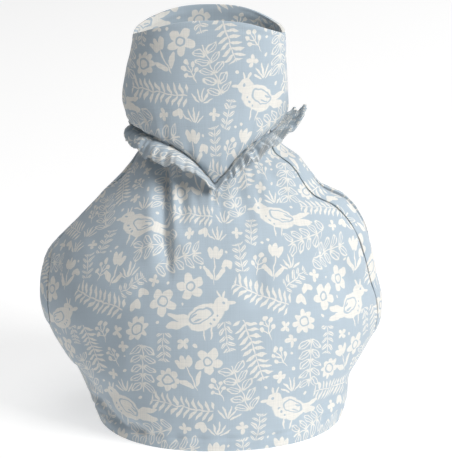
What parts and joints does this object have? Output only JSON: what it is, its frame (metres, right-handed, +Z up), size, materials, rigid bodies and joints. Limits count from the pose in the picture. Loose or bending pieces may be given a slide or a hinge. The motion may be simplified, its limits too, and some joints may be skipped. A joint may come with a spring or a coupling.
{
  "type": "tea cosy",
  "caption": "Muff tea cosy of padded printed cotton: round-shouldered cover with side slots for spout and handle, a gathered frill in a V-shaped neck, and an open hood.",
  "frame": {"origin": "middle of the hem's lower edge, on the surface that the cosy stands on", "axes": "+Z up, +X towards the handle slot, -Y towards the front"},
  "size_m": [0.21, 0.1782, 0.2467],
  "materials": {
    "body_cotton": "dusty blue cotton with a cream block print of birds, leaves and flowers",
    "hood_cotton": "the same printed cotton, printed on the inner face too",
    "frill_cotton": "the same printed cotton, gathered",
    "binding_cotton": "the same printed cotton, cut as an edge strip"
  },
  "bodies": {
    "root": {"body_front": "body_cotton", "body_back": "body_cotton", "hood_front": "hood_cotton", "hood_back": "hood_cotton", "neck_frill": "frill_cotton", "binding_spout": "binding_cotton", "binding_handle": "binding_cotton"}
  },
  "joints": []
}
